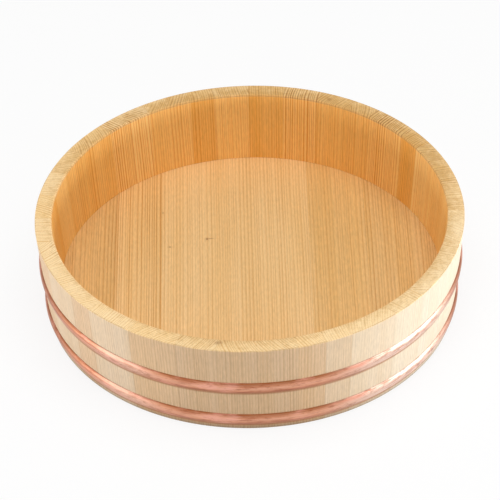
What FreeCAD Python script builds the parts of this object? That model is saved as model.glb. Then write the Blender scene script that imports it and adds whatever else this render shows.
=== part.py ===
import FreeCAD, Part
import math
import os
import Sketcher

# Rice tub: a ring of bevelled staves pegged edge to edge, a pegged board floor held in a groove
# of the wall, and two crowned copper hoops driven on over the taper.
# Origin at the middle of the foot, +Z up, millimetres and degrees.

doc = FreeCAD.newDocument("rice_tub")

# Driving sizes

SIZES = {
    "rim_diameter": 390.0,
    "height": 95.5,
    "wall": 15.2,
    "wall_lean": 4.5,
    "rim_chamfer": 1.5,
    "narrow_stave": 25.0,
    "middle_stave": 36.0,
    "wide_stave": 46.0,
    "first_seam_angle": 11.5,
    "floor_height": 24.5,
    "floor_thickness": 13.0,
    "floor_tongue": 9.0,
    "groove_depth": 3.5,
    "groove_clearance": 0.1,
    "tongue_shoulder": 0.5,
    "floor_bevel": 6.0,
    "board_1_width": 52.6,
    "board_2_width": 43.0,
    "board_3_width": 57.0,
    "board_4_width": 80.0,
    "board_5_width": 53.0,
    "board_6_width": 69.62,
    "hoop_width": 12.0,
    "hoop_edge": 1.2,
    "hoop_crown": 2.3,
    "hoop_clearance": 0.05,
    "upper_hoop_height": 44.8,
    "lower_hoop_height": 6.0,
    "stave_peg_width": 3.2,
    "stave_peg_thickness": 2.4,
    "stave_peg_height": 62.0,
    "board_peg_width": 5.0,
    "board_peg_thickness": 3.2,
    "peg_point": 4.0,
    "peg_clearance": 0.05,
    "peg_tip_gap": 0.3,
    "wood_between_pegs": 4.0,
}

# The order in which narrow, middle and wide staves stand round the tub, from the first seam on
STAVE_ORDER = "MNNWNMMMMNWNNWMMMMMWNWWMMMNNWMMWWW"
STAVE_KINDS = {"N": "narrow_stave", "M": "middle_stave", "W": "wide_stave"}

# Where the pegs of a board seam lie, as parts of half the seam's length from its middle
BOARD_PEG_PLACES = (-0.6, 0.0, 0.6)

sheet = doc.addObject("Spreadsheet::Sheet", "Sizes")
for row, (name, value) in enumerate(SIZES.items(), start=1):
    sheet.set(f"A{row}", name)
    sheet.set(f"B{row}", str(value))
    sheet.setAlias(f"B{row}", name)
doc.recompute()


def outer_at(level):
    """Outside radius of the wall at a height above the foot."""
    return f"(Sizes.rim_diameter / 2 - (Sizes.height - ({level})) * tan(Sizes.wall_lean))"


def inner_at(level):
    """Inside radius of the wall at a height above the foot."""
    return f"({outer_at(level)} - Sizes.wall)"


def middle_at(level):
    """Radius of the middle of the wall's thickness at a height above the foot."""
    return f"({outer_at(level)} - Sizes.wall / 2)"


STAVE_WIDTHS = [f"Sizes.{STAVE_KINDS[letter]}" for letter in STAVE_ORDER]
ALL_WIDTHS = " + ".join(STAVE_WIDTHS)
GROOVE_FOOT = "(Sizes.floor_height - Sizes.floor_tongue)"
GROOVE_TOP = "(Sizes.floor_height + Sizes.groove_clearance)"
FLOOR_UNDERSIDE = "(Sizes.floor_height - Sizes.floor_thickness)"
FLOOR_MIDDLE = "(Sizes.floor_height - Sizes.floor_thickness / 2)"
FLOOR_RADIUS = f"({inner_at('Sizes.floor_height')} + Sizes.groove_depth - Sizes.groove_clearance)"

# The boards together fill the floor from edge to edge, each in proportion to its own width
BOARD_WIDTHS = [f"Sizes.board_{number}_width" for number in range(1, 7)]
ALL_BOARDS = " + ".join(BOARD_WIDTHS)
BOARD_SEAMS = [
    f"({FLOOR_RADIUS} * (2 * ({' + '.join(BOARD_WIDTHS[:count])}) / ({ALL_BOARDS}) - 1))" for count in range(1, 6)
]

# A peg reaches into the narrowest piece from both sides and leaves solid wood between its tips
NARROW_HALF_ANGLE = f"(180 * Sizes.narrow_stave / ({ALL_WIDTHS}))"
NARROW_CHORD = f"(2 * {middle_at('Sizes.stave_peg_height')} * sin({NARROW_HALF_ANGLE}))"
STAVE_PEG_LENGTH = f"({NARROW_CHORD} - Sizes.wood_between_pegs)"
NARROW_BOARD = f"(2 * {FLOOR_RADIUS} * min({'; '.join(BOARD_WIDTHS)}) / ({ALL_BOARDS}))"
BOARD_PEG_LENGTH = f"({NARROW_BOARD} - Sizes.wood_between_pegs)"


def size_of(expression):
    """The number that an expression over the sheet comes to."""
    return float(sheet.evalExpression(expression))


def seam_angle(number):
    """The angle of the seam in front of a stave, in degrees."""
    before = " + ".join(STAVE_WIDTHS[:number]) or "0"
    return f"(Sizes.first_seam_angle + 360 * ({before}) / ({ALL_WIDTHS}))"


# Shared ways of making


def origin_plane(body, role):
    """One of a body's own origin planes or axes."""
    return next(feature for feature in body.Origin.OriginFeatures if feature.Role == role)


def new_sketch(body, role, name):
    """A sketch lying on one of the body's origin planes."""
    sketch = body.newObject("Sketcher::SketchObject", name)
    sketch.AttachmentSupport = [(origin_plane(body, role), "")]
    sketch.MapMode = "FlatFace"
    return sketch


def draw_outline(sketch, corners):
    """Closed straight-sided outline, each corner tied to its own two sizes."""
    points = [FreeCAD.Vector(size_of(x), size_of(y), 0) for x, y in corners]
    first = sketch.GeometryCount
    last = first + len(points) - 1
    for start, end in zip(points, points[1:] + points[:1]):
        sketch.addGeometry(Part.LineSegment(start, end))
    for line in range(first, last + 1):
        following = first if line == last else line + 1
        sketch.addConstraint(Sketcher.Constraint("Coincident", line, 2, following, 1))
    for line, (point, corner) in enumerate(zip(points, corners), start=first):
        for kind, value, expression in zip(("DistanceX", "DistanceY"), point, corner):
            index = sketch.addConstraint(Sketcher.Constraint(kind, -1, 1, line, 1, value))
            sketch.setExpression(f"Constraints[{index}]", expression)


def turn_profile(body, sketch):
    """Turn a profile right round the tub's axis."""
    turned = body.newObject("PartDesign::Revolution", "turned")
    turned.Profile = sketch
    turned.ReferenceAxis = (origin_plane(body, "Z_Axis"), [""])
    turned.Angle = 360
    body.Tip = turned


def check_cut(body, cut):
    """Make a cut the body's last step, and make sure that it took material away."""
    before = body.Shape.Volume
    body.Tip = cut
    doc.recompute()
    if body.Shape.Volume >= before:
        raise ValueError(f"{body.Label}: {cut.Name} cuts nothing")


def cut_pocket(body, sketch, depth, towards_normal=False, both_ways=False):
    """Sink a sketch's outlines into the body."""
    doc.recompute()
    pocket = body.newObject("PartDesign::Pocket", "pocket")
    pocket.Profile = sketch
    pocket.Length = size_of(depth)
    pocket.setExpression("Length", depth)
    pocket.Reversed = towards_normal
    pocket.Midplane = both_ways
    check_cut(body, pocket)


def rectangle(left, right, low, high):
    """The four corners of an upright rectangle."""
    return [(left, low), (right, low), (right, high), (left, high)]


def slot_mouth(along, across, width, thickness):
    """The mouth of a peg slot: the peg's section with its clearance all round."""
    half_width = f"({width} / 2 + Sizes.peg_clearance)"
    half_thickness = f"({thickness} / 2 + Sizes.peg_clearance)"
    near, far = f"{along} - {half_width}", f"{along} + {half_width}"
    return rectangle(near, far, f"{across} - {half_thickness}", f"{across} + {half_thickness}")


def slot_depth(peg_length):
    """Half the peg, and a little air at its tip."""
    return f"{peg_length} / 2 + Sizes.peg_tip_gap"


# Wall staves

WALL_MIDDLE = "(Sizes.height / 2)"
ROUND_RADIUS = f"({outer_at(WALL_MIDDLE)} / cos(Sizes.wall_lean))"
HOLLOW_RADIUS = f"({ROUND_RADIUS} - Sizes.wall * cos(Sizes.wall_lean))"
INSIDE_REACH = f"({inner_at('0')} - Sizes.wall)"
OUTSIDE_REACH = "(Sizes.rim_diameter / 2 + Sizes.wall)"


def kind_angle(kind):
    """The part of the circle that a kind of stave takes, in degrees."""
    return f"(360 * Sizes.{kind} / ({ALL_WIDTHS}))"


def plane_blank(body, angle):
    """A blank planed round outside and hollow inside, standing at the wall's lean."""
    sketch = new_sketch(body, "XY_Plane", "blank")
    axis_height = f"{WALL_MIDDLE} + {outer_at(WALL_MIDDLE)} * tan(Sizes.wall_lean)"
    lean = FreeCAD.Rotation(FreeCAD.Vector(0, 1, 0), size_of("Sizes.wall_lean"))
    sketch.AttachmentOffset = FreeCAD.Placement(FreeCAD.Vector(0, 0, size_of(axis_height)), lean)
    sketch.setExpression("AttachmentOffset.Base.z", axis_height)
    sketch.setExpression("AttachmentOffset.Rotation.Angle", "Sizes.wall_lean")
    half_width = f"({ROUND_RADIUS} * sin({angle} / 2) + Sizes.wall / 2)"
    corners = []
    for arc, radius in enumerate((ROUND_RADIUS, HOLLOW_RADIUS)):
        reach = math.asin(size_of(half_width) / size_of(radius))
        circle = Part.Circle(FreeCAD.Vector(), FreeCAD.Vector(0, 0, 1), size_of(radius))
        sketch.addGeometry(Part.ArcOfCircle(circle, -reach, reach))
        sketch.addConstraint(Sketcher.Constraint("Coincident", arc, 3, -1, 1))
        index = sketch.addConstraint(Sketcher.Constraint("Radius", arc, size_of(radius)))
        sketch.setExpression(f"Constraints[{index}]", radius)
        corners.append(size_of(radius) * math.cos(reach))
    for end, side in ((2, 1), (1, -1)):
        level = side * size_of(half_width)
        start_point, end_point = (FreeCAD.Vector(corner, level, 0) for corner in corners)
        edge = sketch.addGeometry(Part.LineSegment(start_point, end_point))
        sketch.addConstraint(Sketcher.Constraint("Coincident", edge, 1, 0, end))
        sketch.addConstraint(Sketcher.Constraint("Coincident", edge, 2, 1, end))
        sketch.addConstraint(Sketcher.Constraint("Horizontal", edge))
        index = sketch.addConstraint(Sketcher.Constraint("DistanceY", -1, 1, 0, end, level))
        sketch.setExpression(f"Constraints[{index}]", f"{side} * {half_width}")
    pad = body.newObject("PartDesign::Pad", "blank_length")
    pad.Profile = sketch
    pad.Midplane = True
    pad.Length = size_of("Sizes.height + 2 * Sizes.wall")
    pad.setExpression("Length", "Sizes.height + 2 * Sizes.wall")
    body.Tip = pad


def saw_ends(body):
    """Cut the leaning blank level at the foot and at the rim."""
    sketch = new_sketch(body, "XZ_Plane", "ends")
    for low, high in (("-2 * Sizes.wall", "0"), ("Sizes.height", "Sizes.height + 2 * Sizes.wall")):
        draw_outline(sketch, rectangle(INSIDE_REACH, OUTSIDE_REACH, low, high))
    cut_pocket(body, sketch, "Sizes.rim_diameter / 2", both_ways=True)


def edge_sketch(body, name, angle, side):
    """A sketch on a stave's bevelled edge, which points at the tub's axis."""
    sketch = new_sketch(body, "XZ_Plane", name)
    turn = FreeCAD.Rotation(FreeCAD.Vector(0, 1, 0), side * size_of(angle) / 2)
    sketch.AttachmentOffset = FreeCAD.Placement(FreeCAD.Vector(), turn)
    sketch.setExpression("AttachmentOffset.Rotation.Angle", f"{side} * {angle} / 2")
    return sketch


def joint_edge(body, angle, side):
    """Bevel one edge of a stave and sink the slot for its peg."""
    bevel = edge_sketch(body, "bevel", angle, side)
    low, high = "-2 * Sizes.wall", "Sizes.height + 2 * Sizes.wall"
    draw_outline(bevel, rectangle(INSIDE_REACH, OUTSIDE_REACH, low, high))
    cut_pocket(body, bevel, "Sizes.wall", towards_normal=side < 0)
    slot = edge_sketch(body, "slot", angle, side)
    level = "Sizes.stave_peg_height"
    mouth = slot_mouth(middle_at(level), level, "Sizes.stave_peg_width", "Sizes.stave_peg_thickness")
    draw_outline(slot, mouth)
    cut_pocket(body, slot, slot_depth(STAVE_PEG_LENGTH), towards_normal=side > 0)


def plough_groove(body, angle):
    """The groove for the floor, and the eased inner edge of the rim, cut round the tub's axis."""
    sketch = new_sketch(body, "XZ_Plane", "groove_and_eased_edge")
    groove_back = f"{FLOOR_RADIUS} + Sizes.groove_clearance"
    draw_outline(sketch, rectangle(INSIDE_REACH, groove_back, GROOVE_FOOT, GROOVE_TOP))
    edge = inner_at("Sizes.height")
    eased = [
        (f"{edge} + 2 * Sizes.rim_chamfer", "Sizes.height + Sizes.rim_chamfer"),
        (f"{edge} - Sizes.rim_chamfer", "Sizes.height - 2 * Sizes.rim_chamfer"),
        (f"{edge} - Sizes.rim_chamfer", "Sizes.height + Sizes.rim_chamfer"),
    ]
    draw_outline(sketch, eased)
    groove = body.newObject("PartDesign::Groove", "groove")
    groove.Profile = sketch
    groove.ReferenceAxis = (origin_plane(body, "Z_Axis"), [""])
    groove.Midplane = True
    groove.Angle = 2 * size_of(angle)
    groove.setExpression("Angle", f"2 * {angle}")
    check_cut(body, groove)


def make_stave_pattern(kind):
    """The stave of one width that every stave of that width repeats, with its middle on +X."""
    body = doc.addObject("PartDesign::Body", f"{kind}_pattern")
    angle = kind_angle(kind)
    plane_blank(body, angle)
    saw_ends(body)
    for side in (-1, 1):
        joint_edge(body, angle, side)
    plough_groove(body, angle)
    return body


def stand_stave(number, patterns):
    """One stave in its place round the tub, repeated from the pattern of its width."""
    body = doc.addObject("PartDesign::Body", f"stave_{number + 1:02d}")
    body.Label = body.Name
    copy = doc.addObject("PartDesign::FeatureBase", f"copy_{number + 1:02d}")
    body.Group = [copy]
    copy.BaseFeature = patterns[STAVE_KINDS[STAVE_ORDER[number]]]
    body.Tip = copy
    middle = f"{seam_angle(number)} + {kind_angle(STAVE_KINDS[STAVE_ORDER[number]])} / 2"
    turn = FreeCAD.Rotation(FreeCAD.Vector(0, 0, 1), size_of(middle))
    body.Placement = FreeCAD.Placement(FreeCAD.Vector(), turn)
    body.setExpression("Placement.Rotation.Angle", middle)
    return body


# Floor boards


def floor_profile():
    """Half section of the floor: flat top, a tongue for the groove, and a bevel below it."""
    shoulder = f"{inner_at(GROOVE_FOOT)} - Sizes.tongue_shoulder"
    return [
        ("0", FLOOR_UNDERSIDE),
        (f"{shoulder} - Sizes.floor_bevel", FLOOR_UNDERSIDE),
        (shoulder, GROOVE_FOOT),
        (FLOOR_RADIUS, GROOVE_FOOT),
        (FLOOR_RADIUS, "Sizes.floor_height"),
        ("0", "Sizes.floor_height"),
    ]


def seam_half_length(seam):
    """Half the length of a board seam, from the middle to the floor's edge."""
    return f"sqrt({FLOOR_RADIUS} * {FLOOR_RADIUS} - ({seam}) * ({seam}))"


def make_board(number):
    """One board: the turned floor cut to a strip, with peg slots in its jointed edges."""
    body = doc.addObject("PartDesign::Body", f"floor_board_{number + 1}")
    body.Label = body.Name
    profile = new_sketch(body, "XZ_Plane", "section")
    draw_outline(profile, floor_profile())
    turn_profile(body, profile)
    edges = []
    if number > 0:
        edges.append((BOARD_SEAMS[number - 1], -1))
    if number < len(BOARD_SEAMS):
        edges.append((BOARD_SEAMS[number], 1))
    for seam, side in edges:
        waste = new_sketch(body, "XY_Plane", "waste")
        far = f"{side} * ({FLOOR_RADIUS} + Sizes.wall)"
        reach = f"({FLOOR_RADIUS} + Sizes.wall)"
        draw_outline(waste, rectangle(seam, far, f"-{reach}", reach))
        cut_pocket(body, waste, "Sizes.floor_height + Sizes.floor_thickness", towards_normal=True)
    for seam, side in edges:
        slots = new_sketch(body, "YZ_Plane", "edge")
        slots.AttachmentOffset = FreeCAD.Placement(FreeCAD.Vector(0, 0, size_of(seam)), FreeCAD.Rotation())
        slots.setExpression("AttachmentOffset.Base.z", seam)
        for place in BOARD_PEG_PLACES:
            along = f"({place}) * {seam_half_length(seam)}"
            mouth = slot_mouth(along, FLOOR_MIDDLE, "Sizes.board_peg_width", "Sizes.board_peg_thickness")
            draw_outline(slots, mouth)
        cut_pocket(body, slots, slot_depth(BOARD_PEG_LENGTH), towards_normal=side < 0)
    return body


# Copper hoops


def make_hoop(name, foot):
    """A closed copper strip with a crowned face, lying flat on the leaning wall."""
    body = doc.addObject("PartDesign::Body", name)
    body.Label = body.Name
    sketch = new_sketch(body, "XZ_Plane", "section")
    sketch.AttachmentOffset = FreeCAD.Placement(
        FreeCAD.Vector(size_of(outer_at(foot)), size_of(foot), 0),
        FreeCAD.Rotation(FreeCAD.Vector(0, 0, 1), -size_of("Sizes.wall_lean")),
    )
    sketch.setExpression("AttachmentOffset.Base.x", outer_at(foot))
    sketch.setExpression("AttachmentOffset.Base.y", foot)
    sketch.setExpression("AttachmentOffset.Rotation.Angle", "-Sizes.wall_lean")
    seat = size_of("Sizes.hoop_clearance")
    edge = seat + size_of("Sizes.hoop_edge")
    crown = seat + size_of("Sizes.hoop_crown")
    width = size_of("Sizes.hoop_width")
    low_edge = FreeCAD.Vector(edge, 0, 0)
    high_edge = FreeCAD.Vector(edge, width, 0)
    sketch.addGeometry(Part.LineSegment(high_edge, FreeCAD.Vector(seat, width, 0)))
    sketch.addGeometry(Part.LineSegment(FreeCAD.Vector(seat, width, 0), FreeCAD.Vector(seat, 0, 0)))
    sketch.addGeometry(Part.LineSegment(FreeCAD.Vector(seat, 0, 0), low_edge))
    sketch.addGeometry(Part.Arc(low_edge, FreeCAD.Vector(crown, width / 2, 0), high_edge))
    sketch.addConstraint(Sketcher.Constraint("Coincident", 0, 2, 1, 1))
    sketch.addConstraint(Sketcher.Constraint("Coincident", 1, 2, 2, 1))
    sketch.addConstraint(Sketcher.Constraint("Coincident", 2, 2, 3, 1))
    sketch.addConstraint(Sketcher.Constraint("Coincident", 3, 2, 0, 1))
    sketch.addConstraint(Sketcher.Constraint("Horizontal", 0))
    sketch.addConstraint(Sketcher.Constraint("Vertical", 1))
    sketch.addConstraint(Sketcher.Constraint("Horizontal", 2))
    rise = "(Sizes.hoop_crown - Sizes.hoop_edge)"
    crown_radius = f"({rise} / 2 + Sizes.hoop_width * Sizes.hoop_width / (8 * {rise}))"
    sized = (
        (Sketcher.Constraint("DistanceX", -1, 1, 1, 2, seat), "Sizes.hoop_clearance"),
        (Sketcher.Constraint("DistanceY", -1, 1, 1, 2, 0.0), "0"),
        (Sketcher.Constraint("DistanceY", 1, 2, 1, 1, width), "Sizes.hoop_width"),
        (Sketcher.Constraint("DistanceX", 2, 1, 2, 2, edge - seat), "Sizes.hoop_edge"),
        (Sketcher.Constraint("DistanceX", 0, 2, 0, 1, edge - seat), "Sizes.hoop_edge"),
        (Sketcher.Constraint("Radius", 3, size_of(crown_radius)), crown_radius),
    )
    for constraint, expression in sized:
        index = sketch.addConstraint(constraint)
        sketch.setExpression(f"Constraints[{index}]", expression)
    turn_profile(body, sketch)
    return body


# Bamboo pegs


def whittled_peg(length, width, thickness):
    """A flat bamboo peg along X, cut to a point at both ends."""
    half = length / 2
    straight = half - size_of("Sizes.peg_point")
    side = width / 2
    one_end = [(straight, -side), (half, 0), (straight, side)]
    other_end = [(-x, -y) for x, y in one_end]
    corners = [FreeCAD.Vector(x, y, -thickness / 2) for x, y in one_end + other_end]
    face = Part.Face(Part.makePolygon(corners + corners[:1]))
    return face.extrude(FreeCAD.Vector(0, 0, thickness))


def make_pegs(name, peg, placements):
    """All the pegs of one kind, as separate solids of one node."""
    feature = doc.addObject("Part::Feature", name)
    pegs = []
    for placement in placements:
        placed = peg.copy()
        placed.Placement = placement
        pegs.append(placed)
    feature.Shape = Part.makeCompound(pegs)
    feature.Label = name
    feature.Placement = FreeCAD.Placement()
    return feature


def stave_peg_placements():
    """One peg to a seam, square to it, in the middle of the wall."""
    level = "Sizes.stave_peg_height"
    spot = FreeCAD.Vector(size_of(middle_at(level)), 0, size_of(level))
    upright = FreeCAD.Vector(0, 0, 1)
    for number in range(len(STAVE_ORDER)):
        turn = FreeCAD.Rotation(upright, size_of(seam_angle(number)))
        yield FreeCAD.Placement(turn.multVec(spot), turn.multiply(FreeCAD.Rotation(upright, 90)))


def board_peg_placements():
    """Three pegs to a seam, spread along it, in the middle of the floor's thickness."""
    for seam in BOARD_SEAMS:
        for place in BOARD_PEG_PLACES:
            along = place * size_of(seam_half_length(seam))
            spot = FreeCAD.Vector(size_of(seam), along, size_of(FLOOR_MIDDLE))
            yield FreeCAD.Placement(spot, FreeCAD.Rotation())


# Putting the tub together

patterns = {kind: make_stave_pattern(kind) for kind in STAVE_KINDS.values()}
pieces = [stand_stave(number, patterns) for number in range(len(STAVE_ORDER))]
pieces += [make_board(number) for number in range(len(BOARD_SEAMS) + 1)]
pieces.append(make_hoop("upper_hoop", "Sizes.upper_hoop_height"))
pieces.append(make_hoop("lower_hoop", "Sizes.lower_hoop_height"))
stave_peg = whittled_peg(
    size_of(STAVE_PEG_LENGTH), size_of("Sizes.stave_peg_width"), size_of("Sizes.stave_peg_thickness")
)
board_peg = whittled_peg(
    size_of(BOARD_PEG_LENGTH), size_of("Sizes.board_peg_width"), size_of("Sizes.board_peg_thickness")
)
pieces.append(make_pegs("stave_pegs", stave_peg, stave_peg_placements()))
pieces.append(make_pegs("board_pegs", board_peg, board_peg_placements()))
doc.recompute()

for item in doc.Objects:
    if "Invalid" in item.State or "Error" in item.State:
        raise ValueError(f"{item.Name} is {item.State}")

os.makedirs("parts", exist_ok=True)
for piece in pieces:
    if piece.Shape.isNull() or not piece.Shape.isValid():
        raise ValueError(f"{piece.Label} has no sound shape")
    piece.Shape.exportStep(f"parts/{piece.Label}.step")
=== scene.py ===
import math
import random

import bmesh
import bpy
from mathutils import Matrix, Vector


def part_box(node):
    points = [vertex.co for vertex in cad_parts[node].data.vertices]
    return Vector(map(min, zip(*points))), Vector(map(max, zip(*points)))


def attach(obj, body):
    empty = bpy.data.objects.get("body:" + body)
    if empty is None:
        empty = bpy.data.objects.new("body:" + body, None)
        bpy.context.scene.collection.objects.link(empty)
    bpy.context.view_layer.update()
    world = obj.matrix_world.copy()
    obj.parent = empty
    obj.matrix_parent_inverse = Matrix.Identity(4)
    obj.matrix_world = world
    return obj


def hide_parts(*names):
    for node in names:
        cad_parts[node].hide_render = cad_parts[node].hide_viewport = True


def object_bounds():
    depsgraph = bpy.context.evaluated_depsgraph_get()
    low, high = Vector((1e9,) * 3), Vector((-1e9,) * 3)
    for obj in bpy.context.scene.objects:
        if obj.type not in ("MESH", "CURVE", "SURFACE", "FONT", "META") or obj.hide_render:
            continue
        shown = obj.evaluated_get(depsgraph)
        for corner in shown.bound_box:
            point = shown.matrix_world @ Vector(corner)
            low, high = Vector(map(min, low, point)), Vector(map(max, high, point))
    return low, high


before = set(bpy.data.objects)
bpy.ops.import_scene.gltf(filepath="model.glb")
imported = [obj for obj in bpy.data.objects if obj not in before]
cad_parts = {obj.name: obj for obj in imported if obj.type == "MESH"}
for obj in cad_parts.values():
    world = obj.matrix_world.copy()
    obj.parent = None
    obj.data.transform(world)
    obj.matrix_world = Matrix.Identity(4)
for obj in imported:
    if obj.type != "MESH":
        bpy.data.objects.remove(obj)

cad_low, cad_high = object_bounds()


# Wall staves: boards of quarter-sawn cypress, hollowed inside, rounded outside and planed to a
# bevel on both edges, so that they stand edge to edge in a ring. Each has a groove near the foot
# for the floor, and its sharp arrises are taken off with one stroke of a plane.

RIM_RADIUS = 0.195
TUB_HEIGHT = cad_high.z
WALL = 0.0152
WALL_LEAN = math.radians(4.5)
FLOOR_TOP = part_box("floor_board_4")[1].z
FLOOR_RADIUS = -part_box("floor_board_1")[0].x
FLOOR_TONGUE = 0.009
GROOVE_CLEARANCE = 0.0001
RIM_OUTER_ROUND = 0.0009
RIM_INNER_ROUND = 0.0016
FOOT_ROUND = 0.0008
PLANE_STROKE = 0.00012
COLUMN_ANGLE = math.radians(1.3)

# Edges of the wood that turn by more than these get the plane's stroke, and look sharp
ARRIS_ANGLE = math.radians(50)
WOOD_CORNER = math.radians(30)

# The order of narrow, middle and wide staves from the first seam on, their widths in proportion,
# and each stave's wood: plain, light, yellow, strongly lined, orange, dark, grey, or half, mostly
# or wholly sapwood outside
STAVE_ORDER = "MNNWNMMMMNWNNWMMMMMWNWWMMMNNWMMWWW"
STAVE_WIDTHS = {"N": 25, "M": 36, "W": 46}
FIRST_SEAM = math.radians(11.5)
# The sapwood staves stand at the left and right sides, and their paleness there is partly painted light
STAVE_WOODS = "lldsoosdldpysoopollhlhpgggphmwwwwl"

# The lightness, redness and line strength of each wood, how much of its outside is sapwood, whose
# paleness is partly painted light, and how far a stave may differ from the others of its wood
WOOD_TONES = {
    "p": Vector((0.0, 0.0, 0.8)),
    "l": Vector((0.5, -0.3, 0.9)),
    "y": Vector((0.6, -0.8, 1.3)),
    "s": Vector((0.4, -0.3, 1.45)),
    "o": Vector((-0.4, 0.35, 0.8)),
    "d": Vector((-0.7, 0.75, 0.8)),
    "g": Vector((-1.4, 0.1, 0.9)),
    "h": Vector((0.4, -0.4, 0.7)),
    "m": Vector((0.4, -0.4, 0.6)),
    "w": Vector((0.4, -0.7, 0.6)),
}
SAPWOOD_AND_PAINTED_LIGHT = {"h": 0.4, "m": 0.7, "w": 1.0}
LIGHTNESS_SPREAD = 0.2
REDNESS_SPREAD = 0.15

# How the growth rings lean on each rim in degrees, straight through the wall, to the right or to
# the left, how far each may differ from that, and how far away the heart of the log was
STAVE_LEANS = "srsslrssssrlsrlsrslsrsrrlllsrslsrs"
RING_LEAN = {"s": 0.0, "r": 26.0, "l": -26.0}
RING_LEAN_SPREAD = 9
PITH_DISTANCE = (0.07, 0.17)
LOG_LENGTH = 10

# How dark the end grain on each rim is, in tenths
END_GRAIN = "8999897887865541000000122211233435"

# A round has this many steps, and an extra point on each side, at this many times its own size,
# that keeps the flats beside it flat
EASE_STEPS = 4
EASE_MARGIN = 1.5


def outer_radius(height):
    """Outside radius of the wall at a height."""
    return RIM_RADIUS - (TUB_HEIGHT - height) * math.tan(WALL_LEAN)


def inner_radius(height):
    """Inside radius of the wall at a height."""
    return outer_radius(height) - WALL


def eased_outline(corners):
    """A closed outline whose corners are rounded, each to its own size, between straight flats."""
    outline = []
    for index, (corner, size) in enumerate(corners):
        if not size:
            outline.append(corner)
            continue
        before = (corners[index - 1][0] - corner).normalized() * size
        after = (corners[(index + 1) % len(corners)][0] - corner).normalized() * size
        outline.append(corner + EASE_MARGIN * before)
        for step in range(EASE_STEPS + 1):
            part = step / EASE_STEPS
            start, end = corner + before, corner + after
            outline.append(start.lerp(corner, part).lerp(corner.lerp(end, part), part))
        outline.append(corner + EASE_MARGIN * after)
    return outline


def outline_mesh(name, outline):
    """An outline of radii and heights as a ring of edges."""
    mesh = bpy.data.meshes.new(name)
    count = len(outline)
    edges = [(point, (point + 1) % count) for point in range(count)]
    mesh.from_pydata([(radius, height, 0) for radius, height in outline], edges, [])
    return mesh


def stave_section():
    """A stave's section: up the inside past the groove, over the rim and down the outside."""
    groove_foot = FLOOR_TOP - FLOOR_TONGUE
    groove_top = FLOOR_TOP + GROOVE_CLEARANCE
    groove_back = FLOOR_RADIUS + GROOVE_CLEARANCE
    corners = [
        (inner_radius(0), 0, FOOT_ROUND),
        (inner_radius(groove_foot), groove_foot, 0),
        (groove_back, groove_foot, 0),
        (groove_back, groove_top, 0),
        (inner_radius(groove_top), groove_top, 0),
        (inner_radius(TUB_HEIGHT), TUB_HEIGHT, RIM_INNER_ROUND),
        (RIM_RADIUS, TUB_HEIGHT, RIM_OUTER_ROUND),
        (outer_radius(0), 0, FOOT_ROUND),
    ]
    return eased_outline([(Vector((radius, height)), size) for radius, height, size in corners])


def add_node(tree, kind, inputs=None, **settings):
    """Add a node to a tree, set it up, and feed its sockets from other nodes or with values."""
    node = tree.nodes.new(kind)
    for name, value in settings.items():
        setattr(node, name, value)
    for socket, source in (inputs or {}).items():
        if isinstance(source, bpy.types.NodeSocket):
            tree.links.new(source, node.inputs[socket])
        else:
            node.inputs[socket].default_value = source
    return node


def calc(tree, operation, *values):
    """The result of a sum on numbers."""
    node = add_node(tree, "ShaderNodeMath", dict(enumerate(values)), operation=operation)
    return node.outputs[0]


def calc_vector(tree, operation, *values):
    """The result of a sum on vectors."""
    node = add_node(tree, "ShaderNodeVectorMath", dict(enumerate(values)), operation=operation)
    return node.outputs["Value" if operation in ("LENGTH", "DISTANCE") else "Vector"]


def scaled(tree, vector, factor):
    """A vector or a colour times a number."""
    inputs = {0: vector, "Scale": factor}
    return add_node(tree, "ShaderNodeVectorMath", inputs, operation="SCALE").outputs[0]


def parts(tree, vector):
    """The three numbers of a vector."""
    return add_node(tree, "ShaderNodeSeparateXYZ", {0: vector}).outputs


def ramp(tree, value, start, end, low=0.0, high=1.0):
    """A smooth change from low to high as a value goes from start to end."""
    inputs = {"Value": value, "From Min": start, "From Max": end, "To Min": low, "To Max": high}
    node = add_node(tree, "ShaderNodeMapRange", inputs, interpolation_type="SMOOTHSTEP")
    return node.outputs["Result"]


def new_group(name, kind, inputs, outputs):
    """A node group with named sockets, and its two end nodes."""
    tree = bpy.data.node_groups.new(name, kind)
    for direction, sockets in (("INPUT", inputs), ("OUTPUT", outputs)):
        for socket, socket_kind in sockets.items():
            tree.interface.new_socket(socket, in_out=direction, socket_type=f"NodeSocket{socket_kind}")
    start = tree.nodes.new("NodeGroupInput")
    end = tree.nodes.new("NodeGroupOutput")
    return tree, start.outputs, end.inputs


def set_input(modifier, name, value):
    """Set a named input of a Geometry Nodes modifier by its socket's identifier."""
    for item in modifier.node_group.interface.items_tree:
        if item.name == name:
            modifier[item.identifier] = value


def sweep_section(tree, section, columns, caps):
    """Draw an outline along a unit line: gives the mesh, the part of the way, radius and height."""
    line = add_node(tree, "GeometryNodeCurvePrimitiveLine", {"Start": (0, 0, 0), "End": (1, 0, 0)})
    stations = add_node(tree, "GeometryNodeResampleCurve", {"Curve": line.outputs[0], "Count": columns})
    outline = add_node(tree, "GeometryNodeMeshToCurve", {"Mesh": section})
    inputs = {"Curve": stations.outputs[0], "Profile Curve": outline.outputs[0], "Fill Caps": caps}
    swept = add_node(tree, "GeometryNodeCurveToMesh", inputs)
    way, inwards, down = parts(tree, tree.nodes.new("GeometryNodeInputPosition").outputs[0])
    return swept.outputs[0], way, calc(tree, "MULTIPLY", inwards, -1), calc(tree, "MULTIPLY", down, -1)


def store(tree, geometry, name, x, y, z):
    """Write three fields into a vector attribute of every point."""
    value = add_node(tree, "ShaderNodeCombineXYZ", {0: x, 1: y, 2: z}).outputs[0]
    inputs = {"Geometry": geometry, "Name": name, "Value": value}
    layer = {"data_type": "FLOAT_VECTOR", "domain": "POINT"}
    return add_node(tree, "GeometryNodeStoreNamedAttribute", inputs, **layer).outputs[0]


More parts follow.
